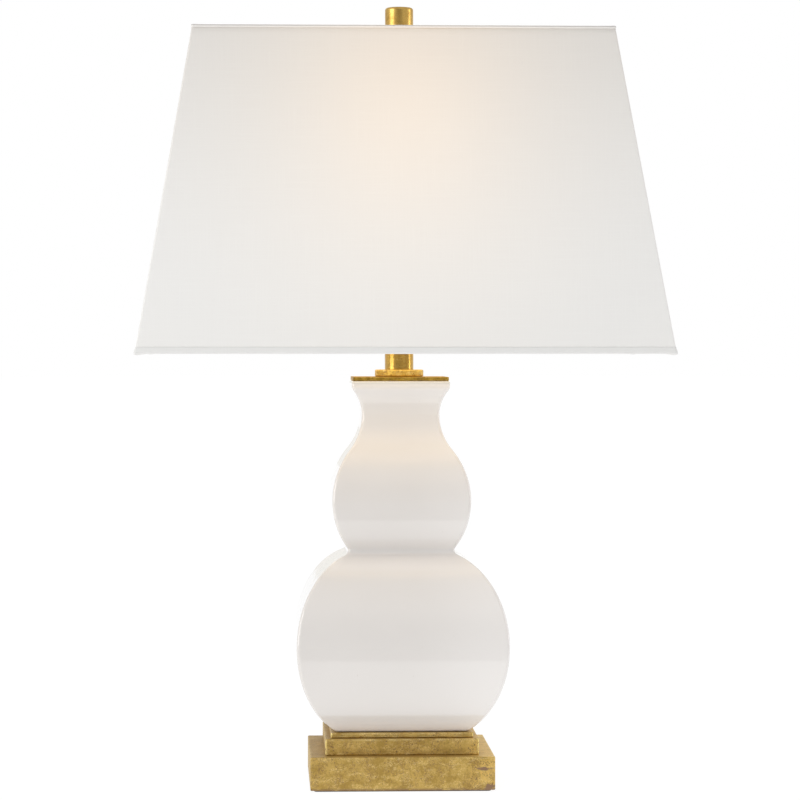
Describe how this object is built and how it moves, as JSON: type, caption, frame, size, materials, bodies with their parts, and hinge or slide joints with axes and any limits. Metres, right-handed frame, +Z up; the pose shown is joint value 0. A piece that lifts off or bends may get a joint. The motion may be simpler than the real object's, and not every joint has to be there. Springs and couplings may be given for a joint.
{
  "type": "table lamp",
  "caption": "Table lamp: square-plan double-gourd glazed body on a stepped gilt base, tapered four-sided fabric shade on a harp, screw-base bulb and turn-knob socket.",
  "frame": {"origin": "middle of the base's resting face, on the table top", "axes": "+Z up; the lamp faces -Y; +X along the long side of the shade"},
  "size_m": [0.4584, 0.3064, 0.685],
  "materials": {
    "felt": "dark brown felt",
    "gold_leaf": "gold leaf over reddish bole on wood, rubbed at the edges",
    "bushing_plastic": "moulded",
    "zinc_steel": "zinc plated",
    "rubber": "matt",
    "white_glaze": "glossy cream-white glaze",
    "gilt_metal": "gold leaf on metal",
    "polished_brass": "polished, lacquered",
    "harp_brass": "plated wire",
    "socket_brass": "spun sheet",
    "insulating_card": "plain",
    "black_phenolic": "moulded",
    "screw_shell_metal": "rolled sheet",
    "black_glass": "opaque",
    "solder": "tinned",
    "frosted_glass": "frosted, lit",
    "shade_fabric": "plain-weave white linen",
    "shade_backing": "translucent sheet",
    "frame_wire": "white painted wire"
  },
  "bodies": {
    "lamp_body": {"felt_pad": "felt", "base_plinth": "gold_leaf", "base_middle_tier": "gold_leaf", "base_top_tier": "gold_leaf", "cord_bushing": "bushing_plastic", "base_washer": "zinc_steel", "base_lock_washer": "zinc_steel", "base_nut": "zinc_steel", "threaded_rod": "zinc_steel", "foot_gasket": "rubber", "gourd_body": "white_glaze", "gourd_plate": "gilt_metal", "stem_collar": "gilt_metal", "stem_tube": "polished_brass", "stem_cap": "polished_brass", "harp_saddle": "harp_brass", "saddle_nut": "zinc_steel", "socket_cap": "socket_brass", "socket_set_screw": "socket_brass", "socket_shell": "socket_brass", "socket_insulator": "insulating_card", "socket_core": "black_phenolic", "socket_screw_shell": "screw_shell_metal", "socket_contact": "socket_brass"},
    "switch": {"switch_shaft": "socket_brass", "switch_knob": "black_phenolic"},
    "bulb": {"bulb_cap": "screw_shell_metal", "bulb_insulator": "black_glass", "bulb_contact": "solder", "bulb_glass": "frosted_glass"},
    "harp": {"harp_bow": "harp_brass", "harp_stud": "harp_brass"},
    "sleeve_left": {"harp_sleeve_left": "harp_brass"},
    "sleeve_right": {"harp_sleeve_right": "harp_brass"},
    "shade": {"shade_cover": "shade_fabric", "shade_panel_front": "shade_backing", "shade_panel_right": "shade_backing", "shade_panel_back": "shade_backing", "shade_panel_left": "shade_backing", "shade_bottom_wire": "frame_wire", "shade_top_wire": "frame_wire", "shade_bottom_hem": "shade_fabric", "shade_top_hem": "shade_fabric", "spider_washer": "frame_wire", "spider_arms": "frame_wire"},
    "finial": {"finial": "polished_brass"}
  },
  "joints": [
    {"name": "switch_turn", "type": "hinge", "parent": "lamp_body", "child": "switch", "pos_m": [0, -0.027, 0.4608], "axis": [0, -1, 0], "continuous": true},
    {"name": "bulb_turn", "type": "hinge", "parent": "lamp_body", "child": "bulb", "pos_m": [0, 0, 0.49], "axis": [0, 0, 1], "continuous": true},
    {"name": "harp_lift", "type": "slide", "parent": "lamp_body", "child": "harp", "axis": [0, 0, 1], "range_m": [0, 0.03]},
    {"name": "sleeve_left_slide", "type": "slide", "parent": "harp", "child": "sleeve_left", "axis": [0, 0, 1], "range_m": [0, 0.014]},
    {"name": "sleeve_right_slide", "type": "slide", "parent": "harp", "child": "sleeve_right", "axis": [0, 0, 1], "range_m": [0, 0.014]},
    {"name": "shade_swivel", "type": "hinge", "parent": "harp", "child": "shade", "pos_m": [0, 0, 0.6488], "axis": [0, 0, 1], "continuous": true},
    {"name": "finial_turn", "type": "hinge", "parent": "harp", "child": "finial", "pos_m": [0, 0, 0.667], "axis": [0, 0, 1], "continuous": true}
  ]
}
